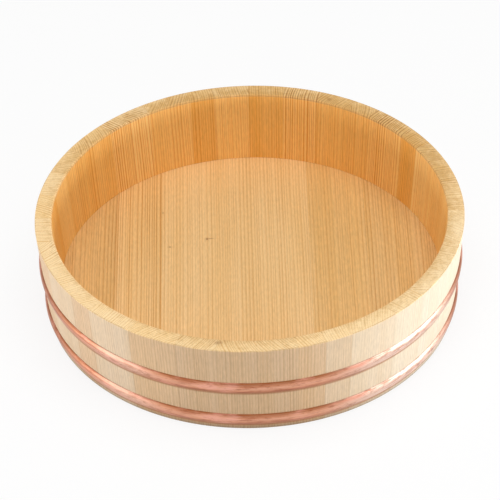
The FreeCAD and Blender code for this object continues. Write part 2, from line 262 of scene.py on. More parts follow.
def bend_round(tree, geometry, radius, angle, height):
    """Set every point at its own angle round the tub's axis."""
    x = calc(tree, "MULTIPLY", radius, calc(tree, "COSINE", angle))
    y = calc(tree, "MULTIPLY", radius, calc(tree, "SINE", angle))
    place = add_node(tree, "ShaderNodeCombineXYZ", {0: x, 1: y, 2: height}).outputs[0]
    return add_node(tree, "GeometryNodeSetPosition", {"Geometry": geometry, "Position": place}).outputs[0]


def end_tree(tree, geometry, material, output):
    """End a tree with plain geometry in one material."""
    plain = add_node(tree, "GeometryNodeRealizeInstances", {"Geometry": geometry}).outputs[0]
    painted = add_node(tree, "GeometryNodeSetMaterial", {"Geometry": plain, "Material": material})
    tree.links.new(painted.outputs[0], output)


def stave_tree():
    """Sweep the stave's section from seam to seam, and note where each point lies in its board."""
    inputs = {
        "Section": "Geometry", "Seam": "Float", "Span": "Float", "Columns": "Int",
        "Pith": "Vector", "Tone": "Vector", "Sapwood And Light": "Float", "End Grain": "Float", "Wood": "Material",
    }
    tree, given, result = new_group("round_stave", "GeometryNodeTree", inputs, {"Stave": "Geometry"})
    mesh, part, radius, height = sweep_section(tree, given["Section"], given["Columns"], True)
    offset = calc(tree, "MULTIPLY", calc(tree, "SUBTRACT", part, 0.5), given["Span"])
    angle = calc(tree, "ADD", given["Seam"], calc(tree, "MULTIPLY", part, given["Span"]))
    lean = calc(tree, "MULTIPLY", height, math.tan(WALL_LEAN))
    across = calc(tree, "MULTIPLY", radius, calc(tree, "SINE", offset))
    outwards = calc(tree, "MULTIPLY", radius, calc(tree, "COSINE", offset))
    outwards = calc(tree, "SUBTRACT", calc(tree, "SUBTRACT", outwards, lean), outer_radius(0))
    in_board = zip((across, outwards, height), parts(tree, given["Pith"]))
    mesh = store(tree, mesh, "grain", *[calc(tree, "ADD", here, pith) for here, pith in in_board])
    nearer = calc(tree, "MINIMUM", part, calc(tree, "SUBTRACT", 1, part))
    to_seam = calc(tree, "MULTIPLY", calc(tree, "MULTIPLY", nearer, given["Span"]), radius)
    depth = calc(tree, "SUBTRACT", calc(tree, "ADD", outer_radius(0), lean), radius)
    mesh = store(tree, mesh, "place", to_seam, depth, height)
    mesh = store(tree, mesh, "tone", *parts(tree, given["Tone"]))
    mesh = store(tree, mesh, "sapwood_light_and_end_grain", given["Sapwood And Light"], given["End Grain"], 0)
    end_tree(tree, bend_round(tree, mesh, radius, angle, height), given["Wood"], result[0])
    return tree


def settle(piece, sharp_angle):
    """Keep what a piece's modifiers make as its own plain mesh, smooth but for its corners."""
    depsgraph = bpy.context.evaluated_depsgraph_get()
    finished = piece.evaluated_get(depsgraph)
    mesh = bpy.data.meshes.new_from_object(finished, preserve_all_data_layers=True, depsgraph=depsgraph)
    piece.modifiers.clear()
    piece.data = mesh
    mesh.name = piece.name
    mesh.shade_smooth()
    mesh.set_sharp_from_angle(angle=sharp_angle)


def add_piece(name, data):
    """Put a new object in the scene."""
    piece = bpy.data.objects.new(name, data)
    bpy.context.scene.collection.objects.link(piece)
    return piece


def shade(red, green, blue):
    """A colour given as it looks on a screen, from 0 to 255, turned to plain light."""
    return tuple(((level / 255 + 0.055) / 1.055) ** 2.4 for level in (red, green, blue)) + (1.0,)


def noise_node(tree, vector, scale, detail=2.0, roughness=0.5):
    """Soft noise whose grains have their own size along each axis."""
    stretched = calc_vector(tree, "MULTIPLY", vector, scale)
    inputs = {"Vector": stretched, "Scale": 1.0, "Detail": detail, "Roughness": roughness}
    return add_node(tree, "ShaderNodeTexNoise", inputs)


def noise(tree, vector, scale, detail=2.0, roughness=0.5):
    """One value of soft noise, from 0 to 1."""
    return noise_node(tree, vector, scale, detail, roughness).outputs[0]


def centred(tree, value):
    """A value from 0 to 1 as one from -0.5 to 0.5."""
    return calc(tree, "SUBTRACT", value, 0.5)


def stray(tree, vector, scale, reach):
    """A soft random shift of places, as far as half of its reach along each axis."""
    shift = noise_node(tree, vector, scale).outputs["Color"]
    return scaled(tree, calc_vector(tree, "SUBTRACT", shift, (0.5, 0.5, 0.5)), reach)


# The wood's patterns, in grains to a metre: two ways across a board and one along it
SWAY = (9, 9, 4)
FIBRE = (1300, 1300, 24)
FLECK = (800, 800, 160)
STREAK = (55, 55, 3)
PATCH = (70, 70, 9)

# When in a year the late wood forms and ends, and how much of it the poorest year has
LATE_WOOD = (0.35, 0.90)
WINTER = (0.91, 1.0)
POOREST_YEAR = 0.55

# How soon the pace of growth changes from year to year, how uneven it makes the rings, and how far
# the grain wanders from a straight line
PACE_CHANGE = 0.22
PACE_UNEVENNESS = 2.2
GRAIN_WANDER = 0.003


def straight_grain_group():
    """Growth rings round the pith, long fibres, short flecks and broad streaks, all along the board."""
    inputs = {"Grain": "Vector", "Ring Width": "Float", "Wander": "Float", "Unevenness": "Float"}
    outputs = {"Rings": "Float", "Fibre": "Float", "Fleck": "Float", "Streak": "Float", "Patch": "Float"}
    tree, given, result = new_group("straight_grain", "ShaderNodeTree", inputs, outputs)
    bent = calc_vector(tree, "ADD", given["Grain"], stray(tree, given["Grain"], SWAY, given["Wander"]))
    from_pith = calc_vector(tree, "LENGTH", calc_vector(tree, "MULTIPLY", bent, (1, 1, 0)))
    years = calc(tree, "DIVIDE", from_pith, given["Ring Width"])
    inputs = {"W": calc(tree, "MULTIPLY", years, PACE_CHANGE), "Scale": 1.0}
    pace = add_node(tree, "ShaderNodeTexNoise", inputs, noise_dimensions="1D").outputs[0]
    years = calc(tree, "MULTIPLY_ADD", pace, given["Unevenness"], years)
    season = calc(tree, "FRACT", years)
    late = calc(tree, "MULTIPLY", ramp(tree, season, *LATE_WOOD), ramp(tree, season, *WINTER, 1.0, 0.0))
    year = {"W": calc(tree, "FLOOR", years)}
    luck = add_node(tree, "ShaderNodeTexWhiteNoise", year, noise_dimensions="1D").outputs[0]
    strength = calc(tree, "MULTIPLY_ADD", luck, 1 - POOREST_YEAR, POOREST_YEAR)
    tree.links.new(calc(tree, "MULTIPLY", late, strength), result["Rings"])
    tree.links.new(noise(tree, given["Grain"], FIBRE, detail=3.0), result["Fibre"])
    tree.links.new(noise(tree, given["Grain"], FLECK), result["Fleck"])
    tree.links.new(noise(tree, given["Grain"], STREAK), result["Streak"])
    tree.links.new(noise(tree, given["Grain"], PATCH), result["Patch"])
    return tree


STRAIGHT_GRAIN = straight_grain_group()


def attribute(tree, name):
    """An attribute of the piece's own mesh, as a vector."""
    return add_node(tree, "ShaderNodeAttribute", attribute_name=name).outputs["Vector"]


def mix(tree, part, first, second):
    """One colour passing into another."""
    return add_node(tree, "ShaderNodeMix", {0: part, 6: first, 7: second}, data_type="RGBA").outputs[2]


def new_material(name, roughness, metallic=0.0, specular=0.5):
    """A material with its shader, ready for its colour, roughness and relief."""
    material = bpy.data.materials.new(name)
    material.use_nodes = True
    tree = material.node_tree
    shader = tree.nodes["Principled BSDF"]
    shader.inputs["Roughness"].default_value = roughness
    shader.inputs["Metallic"].default_value = metallic
    shader.inputs["Specular IOR Level"].default_value = specular
    return material, tree, shader.inputs


def relief(tree, height, distance, normal_input):
    """Raise a surface a little where a value is high."""
    bump = add_node(tree, "ShaderNodeBump", {"Height": height, "Distance": distance, "Strength": 1.0})
    tree.links.new(bump.outputs[0], normal_input)


def wood_grain(tree, ring_width):
    """The grain of a board, from the place of each point in its log."""
    inputs = {
        "Grain": attribute(tree, "grain"), "Ring Width": ring_width,
        "Wander": GRAIN_WANDER, "Unevenness": PACE_UNEVENNESS,
    }
    return add_node(tree, "ShaderNodeGroup", inputs, node_tree=STRAIGHT_GRAIN).outputs


# How pale and red wood tint a board, from one end of its redness to the other, how much one step
# of lightness, a streak, the fibres and the flecks lighten it, and how dark its seams are
PALE_TINT = (1.05, 1.30, 1.86, 1)
RED_TINT = (0.965, 0.775, 0.36, 1)
REDNESS_RANGE = (-2.0, 1.5)
LIGHTNESS_STEP = 0.06
STREAK_LIGHT = 0.08
STREAK_REDNESS = -1.6
FIBRE_LIGHT = 0.24
FLECK_LIGHT = 0.34
PATCH_LINES = (1.2, 0.4)
SEAM_SHADE = 0.07
SEAM_REACH = 0.0005

# How high the grain stands and the late wood's share in that, what the fibres add to the wood's
# roughness and that roughness itself, and what the late wood takes off it
GRAIN_RELIEF = 0.00008
RING_RELIEF = 0.2
FIBRE_ROUGHNESS = (0.25, 0.5)
RING_ROUGHNESS = -0.06


def wood_colour(tree, grain, early, late, to_seam, line_strength, tone_strength):
    """Colour a board: early and late wood, fibres and streaks, its own tone, dark in the seams."""
    lightness, redness, lines = parts(tree, attribute(tree, "tone"))
    lines = calc(tree, "MULTIPLY", lines, line_strength)
    lines = calc(tree, "MULTIPLY", lines, calc(tree, "MULTIPLY_ADD", grain["Patch"], *PATCH_LINES))
    colour = mix(tree, calc(tree, "MULTIPLY", grain["Rings"], lines), early, late)
    streak = centred(tree, grain["Streak"])
    redness = calc(tree, "MULTIPLY_ADD", streak, STREAK_REDNESS, redness)
    redness = calc(tree, "MULTIPLY", redness, tone_strength)
    inputs = {"Value": redness, "From Min": REDNESS_RANGE[0], "From Max": REDNESS_RANGE[1]}
    warmth = add_node(tree, "ShaderNodeMapRange", inputs).outputs[0]
    colour = calc_vector(tree, "MULTIPLY", colour, mix(tree, warmth, PALE_TINT, RED_TINT))
    light = calc(tree, "MULTIPLY", lightness, tone_strength)
    light = calc(tree, "MULTIPLY_ADD", light, LIGHTNESS_STEP, 1.0)
    light = calc(tree, "MULTIPLY_ADD", streak, STREAK_LIGHT, light)
    for name, strength in (("Fibre", FIBRE_LIGHT), ("Fleck", FLECK_LIGHT)):
        light = calc(tree, "MULTIPLY_ADD", centred(tree, grain[name]), strength, light)
    seam = ramp(tree, to_seam, 0.0, SEAM_REACH, 1.0 - SEAM_SHADE, 1.0)
    return scaled(tree, colour, calc(tree, "MULTIPLY", light, seam))


def wood_surface(tree, grain, shader):
    """Planed wood: late wood stands a little proud and shines a little more."""
    height = calc(tree, "MULTIPLY_ADD", grain["Rings"], RING_RELIEF, grain["Fibre"])
    relief(tree, height, GRAIN_RELIEF, shader["Normal"])
    rough = calc(tree, "MULTIPLY_ADD", grain["Fibre"], *FIBRE_ROUGHNESS)
    rough = calc(tree, "MULTIPLY_ADD", grain["Rings"], RING_ROUGHNESS, rough)
    tree.links.new(rough, shader["Roughness"])


# A pin knot's ragged edge, and its core and its halo as multiples of its size
KNOT_GRAIN = (900, 900, 900)
KNOT_RAGGEDNESS = 0.0010
KNOT_CORE = (0.3, 1.3)
KNOT_HALO = (0.5, 3.5)
HALO_STRENGTH = 0.16
KNOT_BROWN = shade(122, 66, 24)


def pin_knot_group():
    """A dark pin knot, oval and ragged, with a faint halo of darker wood round it."""
    inputs = {"Place": "Vector", "Centre": "Vector", "Size": "Vector"}
    tree, given, result = new_group("pin_knot", "ShaderNodeTree", inputs, {"Knot": "Float"})
    ragged = stray(tree, given["Place"], KNOT_GRAIN, KNOT_RAGGEDNESS)
    away = calc_vector(tree, "SUBTRACT", calc_vector(tree, "ADD", given["Place"], ragged), given["Centre"])
    distance = calc_vector(tree, "LENGTH", calc_vector(tree, "DIVIDE", away, given["Size"]))
    core = ramp(tree, distance, *KNOT_CORE, 1.0, 0.0)
    halo = ramp(tree, distance, *KNOT_HALO, HALO_STRENGTH, 0.0)
    tree.links.new(calc(tree, "MAXIMUM", core, halo), result["Knot"])
    return tree


PIN_KNOT = pin_knot_group()


def set_knots(tree, colour, knots):
    """Set pin knots into a wood: the place and size of each, and how dark it is."""
    point = tree.nodes.new("ShaderNodeTexCoord").outputs["Object"]
    for centre, size, darkness in knots:
        inputs = {"Place": point, "Centre": centre, "Size": size}
        knot = add_node(tree, "ShaderNodeGroup", inputs, node_tree=PIN_KNOT).outputs[0]
        colour = mix(tree, calc(tree, "MULTIPLY", knot, darkness), colour, KNOT_BROWN)
    return colour


# Early and late wood: outside, in sapwood outside, whose paleness is partly painted light, inside,
# which is warmer with painted bounce light, and on light and dark end grain. Lines and differences of
# tone are weaker outside
WALL_RINGS = 0.0023
OUTSIDE = (shade(220, 188, 150), shade(194, 156, 115))
OUTSIDE_SAPWOOD_AND_LIGHT = (shade(227, 209, 179), shade(209, 184, 149))
INSIDE_BOUNCE_LIT = (shade(252, 202, 120), shade(226, 150, 66))
LIGHT_END_GRAIN = (shade(254, 221, 166), shade(230, 180, 114))
DARK_END_GRAIN = (shade(222, 178, 111), shade(168, 112, 52))
OUTSIDE_LINES = 0.8
OUTSIDE_TONES = 0.5

# Where the wood changes: the depth from the outside at which it takes on the colour of the inside,
# the heights of the rim and of its eased inner edge, and the height and depth of its greyed outer
# edge, which is greyer in some streaks than in others
INSIDE_DEPTH = (0.55 * WALL, 0.9 * WALL)
ON_RIM = (TUB_HEIGHT - 0.0012, TUB_HEIGHT - 0.0002)
EASED_EDGE = (TUB_HEIGHT - 0.0024, TUB_HEIGHT - 0.0013)
GREY_EDGE_HEIGHTS = (TUB_HEIGHT - 0.0009, TUB_HEIGHT - 0.0003)
GREY_EDGE_DEPTH = (0.0004, 0.0012)
GREY_EDGE_STREAKS = (0.4, 0.6, 0.10, 0.45)
RIM_EDGE_GREY = shade(160, 122, 84)

# End grain is darker towards the inside, and in small patches
INWARD_DARKENING = 0.6
MOTTLE = (190, 190, 20)
MOTTLE_STRENGTH = 1.5

# The outside is darker at the foot, and a little darker low on the wall: painted shade near the floor
FOOT_SHADE_BAND = (0.0003, 0.0058)
FOOT_SHADE_LIGHT = 0.62
LOW_WALL_SHADE_BAND = (0.015, 0.065)
LOW_WALL_SHADE_LIGHT = 0.935

# The foot of each hoop, how far below it a shadow is painted onto the wood and where that painted
# shadow is full, and how it ends behind the hoop and within the wood
HOOP_FEET = {"upper_hoop": 0.0448, "lower_hoop": 0.006}
HOOP_SHADOW_REACH = 0.0032
HOOP_SHADOW_FULL = 0.0012
HOOP_SHADOW_END = (0.001, 0.002)
HOOP_SHADOW_STRENGTH = 0.7
HOOP_SHADOW_BROWN = shade(164, 104, 68)

RIM_KNOTS = [
    ((-0.0296, -0.1821, TUB_HEIGHT), (0.0042, 0.0026, 0.004), 0.40),
    ((0.0786, 0.1688, TUB_HEIGHT), (0.0030, 0.0030, 0.004), 0.30),
]


def stave_sides(tree, depth, height):
    """How deep within the wall a point lies, and masks for the inside and for the rim."""
    deep = ramp(tree, depth, *INSIDE_DEPTH)
    below = ramp(tree, height, *EASED_EDGE, 1.0, 0.0)
    eased = calc(tree, "MULTIPLY", deep, calc(tree, "SUBTRACT", 1.0, below))
    on_rim = calc(tree, "MAXIMUM", ramp(tree, height, *ON_RIM), eased)
    return deep, calc(tree, "MULTIPLY", deep, below), on_rim


def darkened_end_grain(tree, darkened, depth):
    """How dark the end grain is at a point, from how dark it is on the whole stave."""
    inwards = calc(tree, "MULTIPLY_ADD", depth, INWARD_DARKENING / WALL, -INWARD_DARKENING / 2)
    mottle = centred(tree, noise(tree, attribute(tree, "grain"), MOTTLE, detail=3.0, roughness=0.6))
    darkened = calc(tree, "ADD", darkened, inwards)
    darkened = calc(tree, "MULTIPLY_ADD", mottle, MOTTLE_STRENGTH, darkened)
    return add_node(tree, "ShaderNodeClamp", {0: darkened}).outputs[0]


def stave_colours(tree, sapwood_and_light, inside, on_rim, darkened):
    """The early and the late wood of a stave, on whichever side a point lies."""
    colours = []
    for heart, sap_and_light, bounce_lit, light, dark in zip(
        OUTSIDE, OUTSIDE_SAPWOOD_AND_LIGHT, INSIDE_BOUNCE_LIT, LIGHT_END_GRAIN, DARK_END_GRAIN
    ):
        # The inside colour is painted warm bounce light
        colour = mix(tree, inside, mix(tree, sapwood_and_light, heart, sap_and_light), bounce_lit)
        colours.append(mix(tree, on_rim, colour, mix(tree, darkened, light, dark)))
    return colours


def grey_rim_edge(tree, colour, streak, depth, height):
    """Grey the outer edge of the rim, more in some streaks than in others."""
    edge = calc(tree, "MULTIPLY", ramp(tree, depth, *GREY_EDGE_DEPTH, 1.0, 0.0), ramp(tree, height, *GREY_EDGE_HEIGHTS))
    greyed = calc(tree, "MULTIPLY", edge, ramp(tree, streak, *GREY_EDGE_STREAKS))
    return mix(tree, greyed, colour, RIM_EDGE_GREY)


def shade_foot(tree, colour, height, deep):
    """Paint shade onto the foot, and onto the lower wall outside."""
    foot = ramp(tree, height, *FOOT_SHADE_BAND, FOOT_SHADE_LIGHT, 1.0)
    low = ramp(tree, height, *LOW_WALL_SHADE_BAND, LOW_WALL_SHADE_LIGHT, 1.0)
    return scaled(tree, colour, calc(tree, "MULTIPLY", foot, calc(tree, "MAXIMUM", low, deep)))


def shade_below_hoops(tree, colour, depth, height):
    """Paint a brown shadow onto the wood just below each copper hoop."""
    for hoop_foot in HOOP_FEET.values():
        below = ramp(tree, height, hoop_foot - HOOP_SHADOW_REACH, hoop_foot - HOOP_SHADOW_FULL)
        outside = ramp(tree, depth, *HOOP_SHADOW_END, HOOP_SHADOW_STRENGTH, 0.0)
        behind = ramp(tree, height, *[hoop_foot + rise for rise in HOOP_SHADOW_END], 1.0, 0.0)
        hoop_shadow = calc(tree, "MULTIPLY", calc(tree, "MULTIPLY", below, outside), behind)
        colour = mix(tree, hoop_shadow, colour, HOOP_SHADOW_BROWN)
    return colour


def wall_wood():
    """Bare cypress: pale outside, deeper and warmer inside as painted bounce light, light end grain."""
    material, tree, shader = new_material("wall_cypress", roughness=0.62, specular=0.25)
    grain = wood_grain(tree, WALL_RINGS)
    to_seam, depth, height = parts(tree, attribute(tree, "place"))
    # The sapwood share also paints light onto the pale side staves
    sapwood_and_light, darkened, _ = parts(tree, attribute(tree, "sapwood_light_and_end_grain"))
    deep, inside, on_rim = stave_sides(tree, depth, height)
    darkened = darkened_end_grain(tree, darkened, depth)
    early, late = stave_colours(tree, sapwood_and_light, inside, on_rim, darkened)
    line_strength = calc(tree, "MAXIMUM", calc(tree, "MAXIMUM", inside, on_rim), OUTSIDE_LINES)
    tone_strength = calc(tree, "MULTIPLY_ADD", inside, 1 - OUTSIDE_TONES, OUTSIDE_TONES)
    colour = wood_colour(tree, grain, early, late, to_seam, line_strength, tone_strength)
    colour = grey_rim_edge(tree, colour, grain["Streak"], depth, height)
    # Painted shade at the foot and low on the outer wall
    colour = shade_foot(tree, colour, height, deep)
    # A painted shadow just below each hoop
    colour = shade_below_hoops(tree, colour, depth, height)
    colour = set_knots(tree, colour, RIM_KNOTS)
    tree.links.new(colour, shader["Base Color"])
    wood_surface(tree, grain, shader)
    return material


WALL_WOOD = wall_wood()
STAVE_TREE = stave_tree()
stave_outline = outline_mesh("stave_section", stave_section())
stave_random = random.Random(5)
total_width = sum(STAVE_WIDTHS[letter] for letter in STAVE_ORDER)
seam = FIRST_SEAM
STAVES = zip(STAVE_ORDER, STAVE_WOODS, STAVE_LEANS, END_GRAIN)
for number, (letter, wood, lean, tenths) in enumerate(STAVES, start=1):
    span = 2 * math.pi * STAVE_WIDTHS[letter] / total_width
    stave = add_piece(f"planed_stave_{number:02d}", stave_outline)
    bend = stave.modifiers.new("bend", "NODES")
    bend.node_group = STAVE_TREE
    set_input(bend, "Seam", seam)
    set_input(bend, "Span", span)
    set_input(bend, "Columns", math.ceil(span / COLUMN_ANGLE) + 1)
    ring_lean = RING_LEAN[lean] + stave_random.uniform(-RING_LEAN_SPREAD, RING_LEAN_SPREAD)
    to_pith = math.radians(ring_lean) + math.pi * stave_random.randint(0, 1)
    distance = stave_random.uniform(*PITH_DISTANCE)
    along = stave_random.uniform(0, LOG_LENGTH)
    set_input(bend, "Pith", Vector((distance * math.cos(to_pith), distance * math.sin(to_pith), along)))
    lighter = stave_random.uniform(-LIGHTNESS_SPREAD, LIGHTNESS_SPREAD)
    redder = stave_random.uniform(-REDNESS_SPREAD, REDNESS_SPREAD)
    set_input(bend, "Tone", WOOD_TONES[wood] + Vector((lighter, redder, 0)))
    # How much sapwood, pale partly as painted light
    set_input(bend, "Sapwood And Light", SAPWOOD_AND_PAINTED_LIGHT.get(wood, 0.0))
    set_input(bend, "End Grain", int(tenths) / 10)
    set_input(bend, "Wood", WALL_WOOD)
    ease = stave.modifiers.new("ease", "BEVEL")
    ease.width = PLANE_STROKE
    ease.segments = 1
    ease.limit_method = "ANGLE"
    ease.angle_limit = ARRIS_ANGLE
    settle(stave, WOOD_CORNER)
    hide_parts(f"stave_{number:02d}")
    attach(stave, "root")
    seam += span


# Floor boards: six straight-grained cypress boards, pegged edge to edge and turned to a disc with a
# tongue for the groove of the wall and a bevel below it. The grain runs from front to back.

FLOOR_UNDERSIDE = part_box("floor_board_4")[0].z
TONGUE_SHOULDER = 0.0005
FLOOR_BEVEL = 0.006
ROUND_STEPS = 288
BOARD_COUNT = 6

# Only edges longer than this run along a seam, points nearer than this are one, and a strip of this
# width along each seam has its own faces, so that the seam's shade doesn't spread over the board
LONG_EDGE = 0.1
SAME_POINT = 1e-6
SEAM_STRIP = 0.002

# The lightness, redness and line strength of each board's wood; the first board's low lightness is
# painted shade beside the wall
BOARD_TONES = [
    Vector((-3.2, 0.60, 0.9)),
    Vector((-0.4, 0.15, 1.5)),
    Vector((0.0, 0.05, 0.8)),
    Vector((0.0, 0.05, 0.8)),
    Vector((-1.7, 0.60, 0.8)),
    Vector((-2.7, 0.60, 1.0)),
]

# How far the heart of the log lies to the left of a board and below the foot of the tub, and how
# far along the log the board was cut
BOARD_PITH = ((0.12, 0.2), (-0.03, 0.03), (0, LOG_LENGTH))

FLOOR_RINGS = 0.0028
FLOOR_EARLY = shade(238, 198, 138)
FLOOR_LATE = shade(206, 150, 80)
FLOOR_LINES = 0.82
FLOOR_TONES = 0.7
FRONT_TINT = (1.01, 1.03, 1.08, 1)
BACK_TINT = (0.965, 0.955, 0.93, 1)
FRONT_TO_BACK = (-0.14, 0.15)
FLOOR_KNOTS = [
    ((-0.0404, 0.0499, FLOOR_TOP), (0.0009, 0.0012, 0.004), 1.00),
    ((-0.0372, 0.0505, FLOOR_TOP), (0.0034, 0.0006, 0.004), 0.55),
    ((-0.0750, 0.0395, FLOOR_TOP), (0.0012, 0.0010, 0.004), 0.65),
    ((-0.0818, 0.0911, FLOOR_TOP), (0.0011, 0.0010, 0.004), 0.40),
]


def turned_floor():
    """The whole floor as one turned disc."""
    groove_foot = FLOOR_TOP - FLOOR_TONGUE
    shoulder = inner_radius(groove_foot) - TONGUE_SHOULDER
    rings = [
        (FLOOR_RADIUS, FLOOR_TOP),
        (FLOOR_RADIUS, groove_foot),
        (shoulder, groove_foot),
        (shoulder - FLOOR_BEVEL, FLOOR_UNDERSIDE),
    ]
    disc = bmesh.new()
    turns = [2 * math.pi * step / ROUND_STEPS for step in range(ROUND_STEPS)]
    loops = []
    for radius, height in rings:
        points = [(radius * math.cos(turn), radius * math.sin(turn), height) for turn in turns]
        loops.append([disc.verts.new(point) for point in points])
    disc.faces.new(loops[0])
    for upper, lower in zip(loops, loops[1:]):
        for step in range(ROUND_STEPS):
            following = (step + 1) % ROUND_STEPS
            disc.faces.new((upper[following], upper[step], lower[step], lower[following]))
    disc.faces.new(reversed(loops[-1]))
    return disc


def cut_along(disc, x, side):
    """Saw the disc along a line from front to back, and keep what lies on one side of it."""
    geometry = disc.verts[:] + disc.edges[:] + disc.faces[:]
    cut = bmesh.ops.bisect_plane(
        disc, geom=geometry, plane_co=(x, 0, 0), plane_no=(side, 0, 0), clear_outer=True
    )
    edges = [item for item in cut["geom_cut"] if isinstance(item, bmesh.types.BMEdge)]
    bmesh.ops.contextual_create(disc, geom=edges)


def divide_along(disc, x):
    """Add a line of edges from front to back."""
    geometry = disc.verts[:] + disc.edges[:] + disc.faces[:]
    bmesh.ops.bisect_plane(disc, geom=geometry, plane_co=(x, 0, 0), plane_no=(1, 0, 0))


def runs_along(edge, seams):
    """Whether an edge is an arris of one of the seams."""
    if edge.calc_length() <= LONG_EDGE:
        return False
    return any(sum(abs(vertex.co.x - x) for vertex in edge.verts) < SAME_POINT for x in seams)


def write_vectors(mesh, name, vectors):
    """Write one vector to each point of a mesh."""
    layer = mesh.attributes.new(name, "FLOAT_VECTOR", "POINT")
    layer.data.foreach_set("vector", [value for vector in vectors for value in vector])


def make_board(number, left, right, pith, tone):
    """One board of the floor, with its arrises eased along the seams."""
    disc = turned_floor()
    seams = []
    if number > 1:
        cut_along(disc, left, -1)
        seams.append(left)
    if number < BOARD_COUNT:
        cut_along(disc, right, 1)
        seams.append(right)
    arrises = [edge for edge in disc.edges if runs_along(edge, seams)]
    bmesh.ops.bevel(
        disc, geom=arrises, offset=PLANE_STROKE, segments=1, affect="EDGES", clamp_overlap=False
    )
    for x in seams:
        divide_along(disc, x + (SEAM_STRIP if x == left else -SEAM_STRIP))
    bmesh.ops.remove_doubles(disc, verts=disc.verts[:], dist=SAME_POINT)
    bmesh.ops.recalc_face_normals(disc, faces=disc.faces[:])
    mesh = bpy.data.meshes.new(f"planed_board_{number}")
    disc.to_mesh(mesh)
    disc.free()
    points = [vertex.co.copy() for vertex in mesh.vertices]
    write_vectors(mesh, "grain", [(co.x - left + pith.x, co.z + pith.y, co.y + pith.z) for co in points])
    write_vectors(mesh, "tone", [tone] * len(points))
    gaps = [min([abs(co.x - x) for x in seams] + [SEAM_STRIP]) for co in points]
    write_vectors(mesh, "place", [(gap, 0, co.z) for gap, co in zip(gaps, points)])
    return mesh


def floor_wood():
    """Bare cypress with close straight lines and a few pin knots, paler towards the front."""
    material, tree, shader = new_material("floor_cypress", roughness=0.6, specular=0.25)
    grain = wood_grain(tree, FLOOR_RINGS)
    to_seam = parts(tree, attribute(tree, "place"))[0]
    colour = wood_colour(tree, grain, FLOOR_EARLY, FLOOR_LATE, to_seam, FLOOR_LINES, FLOOR_TONES)
    to_back = parts(tree, tree.nodes.new("ShaderNodeTexCoord").outputs["Object"])[1]
    front_to_back_tint = mix(tree, ramp(tree, to_back, *FRONT_TO_BACK), FRONT_TINT, BACK_TINT)
    colour = calc_vector(tree, "MULTIPLY", colour, front_to_back_tint)
    tree.links.new(set_knots(tree, colour, FLOOR_KNOTS), shader["Base Color"])
    wood_surface(tree, grain, shader)
    return material


FLOOR_WOOD = floor_wood()
board_random = random.Random(11)
for number, tone in enumerate(BOARD_TONES, start=1):
    low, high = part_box(f"floor_board_{number}")
    pith = Vector([board_random.uniform(*limits) for limits in BOARD_PITH])
    mesh = make_board(number, low.x, high.x, pith, tone)
    mesh.materials.append(FLOOR_WOOD)
    board = add_piece(f"planed_board_{number}", mesh)
    settle(board, WOOD_CORNER)
    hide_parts(f"floor_board_{number}")
    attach(board, "root")


# Copper hoops: two strips of copper rolled to a crown, brazed to rings that lean with the wall, and
# driven up over the taper of the wall until they hold the staves tight.

HOOP_WIDTH = 0.012
HOOP_EDGE = 0.0004
HOOP_CROWN = 0.0023
HOOP_EDGE_ROUND = 0.00025
HOOP_GAP = 0.00005
HOOP_COLUMNS = 361
CROWN_STEPS = 14
HOOP_CORNER = math.radians(40)
WELD = 1e-5

# The shallow dents of hammer and mandrel: how deep they are, and how many there are to a metre
HOOP_DENT = 0.00008
DENTS = (70, 70, 160)

# The copper's patterns: how many grains to a metre round the tub and over the width of the hoop,
# how much detail they have, and how rough that is
DRAWN = ((9, 9, 6), 4.0, 0.65)
FINE_LINES = ((30, 30, 26), 3.0, 0.5)
CLOUDS = ((45, 45, 2.2), 4.0, 0.6)
SPOTS = ((85, 85, 3.4), 4.0, 0.7)
SMUDGES = ((36, 36, 2.4), 5.0, 0.75)

# From where to where in its pattern each colour comes in, or on the way from front to back for the
# painted dark reflection on the sides and back, and its strength at both ends
CLOUD_EDGE = (0.46, 0.70, 0.0, 0.6)
DRAWN_EDGE = (0.48, 0.66, 0.0, 0.45)
SPOT_EDGE = (0.52, 0.68, 0.0, 0.5)
SMUDGE_EDGE = (0.49, 0.62, 0.0, 0.42)
SIDES_DARK_REFLECTION = (-0.13, -0.04, 0.0, 0.45)

# Its colours: edges darkened as painted reflection, the crown, the painted highlight on its ridge,
# painted dark reflection on the sides and back, painted highlights, and clouds, drawn lines, spots and
# smudges
EDGE_DARK_REFLECTION = shade(150, 94, 60)
CROWN_COPPER = shade(212, 149, 116)
RIDGE_HIGHLIGHT_PINK = shade(236, 186, 164)
SIDES_REFLECTION_BROWN = shade(136, 88, 68)
HIGHLIGHT_COPPER = shade(248, 224, 208)
CLOUD_PINK = shade(234, 172, 154)
DRAWN_RED = shade(172, 98, 64)
SPOT_BROWN = shade(150, 84, 52)
SMUDGE_BROWN = shade(158, 88, 58)

# Where on its width the hoop passes from its lower edge, darkened as painted reflection and shade, to
# the crown and on to its upper edge, darkened the same way, where the painted highlight of its ridge
# begins and ends and how strong it is, and how much the drawn lines wave these limits
LOWER_EDGE = (-0.50, 0.50)
UPPER_EDGE = (0.68, 1.0)
RIDGE_START = (0.25, 0.52)
RIDGE_END = (0.54, 0.80)
RIDGE_HIGHLIGHT_STRENGTH = 0.3
EDGE_WAVE = 0.36

# How much the fine lines lighten the copper and the least light it keeps, what the clouds add to its
# roughness and that roughness itself, what its edges add, and how high the drawn lines stand and
# the fine lines' share in that
LINE_LIGHT = (0.60, 0.70)
CLOUD_ROUGHNESS = (0.16, 0.32)
EDGE_ROUGHNESS = 0.2
COPPER_RELIEF = 0.00006
FINE_LINE_RELIEF = 0.6

# Where each hoop has a painted highlight: the angle round the tub, how far it reaches, and how
# strongly, with the part of that reach that is brightest
PAINTED_HIGHLIGHTS = [(316, 0.100, 0.90), (233, 0.048, 0.30)]
HIGHLIGHT_HEART = 0.2


